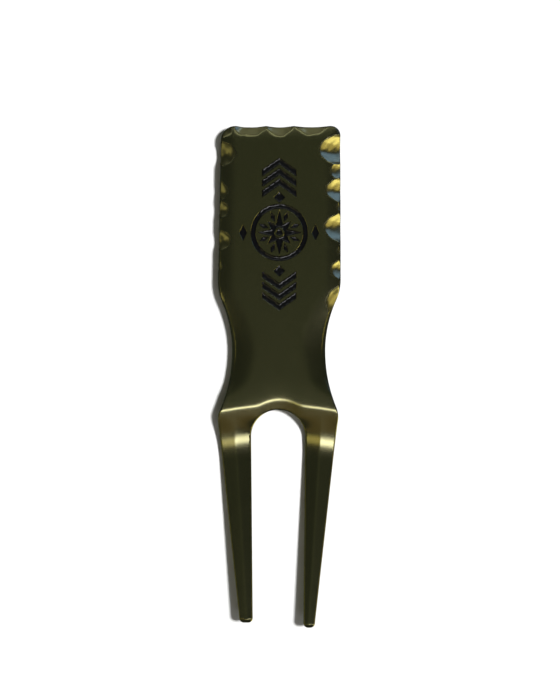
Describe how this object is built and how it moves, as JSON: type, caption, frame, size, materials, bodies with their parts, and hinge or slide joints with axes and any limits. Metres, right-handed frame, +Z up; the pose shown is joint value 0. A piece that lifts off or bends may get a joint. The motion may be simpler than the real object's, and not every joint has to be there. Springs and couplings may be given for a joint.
{
  "type": "divot repair tool",
  "caption": "Metal divot repair tool for golf: flat plate head with ground scallops along its rim, narrow waist, rising fork of ridged prongs, and black enamel ornament.",
  "frame": {"origin": "under the middle of the tool's bounding box, on the plane the tool lies on", "axes": "+Z up, out of the decorated face; +Y from the prong tips to the head's top edge; +X to the right when the face is seen with the head at the top"},
  "size_m": [0.0196, 0.08, 0.0049],
  "materials": {
    "bronzed_metal": "satin dark olive-bronze plating, brighter and a little golden where the rim is ground",
    "black_enamel": "glossy black enamel infill, slightly uneven, a little below the metal face"
  },
  "bodies": {
    "root": {"tool_body": "bronzed_metal", "enamel_ring": "black_enamel", "enamel_star": "black_enamel", "enamel_hub": "black_enamel", "enamel_petal_1": "black_enamel", "enamel_petal_2": "black_enamel", "enamel_petal_3": "black_enamel", "enamel_petal_4": "black_enamel", "enamel_petal_5": "black_enamel", "enamel_petal_6": "black_enamel", "enamel_petal_7": "black_enamel", "enamel_petal_8": "black_enamel", "enamel_left_lozenge": "black_enamel", "enamel_right_lozenge": "black_enamel", "enamel_upper_lozenge": "black_enamel", "enamel_upper_chevron_1": "black_enamel", "enamel_upper_chevron_2": "black_enamel", "enamel_upper_chevron_3": "black_enamel", "enamel_lower_lozenge": "black_enamel", "enamel_lower_chevron_1": "black_enamel", "enamel_lower_chevron_2": "black_enamel", "enamel_lower_chevron_3": "black_enamel"}
  },
  "joints": []
}
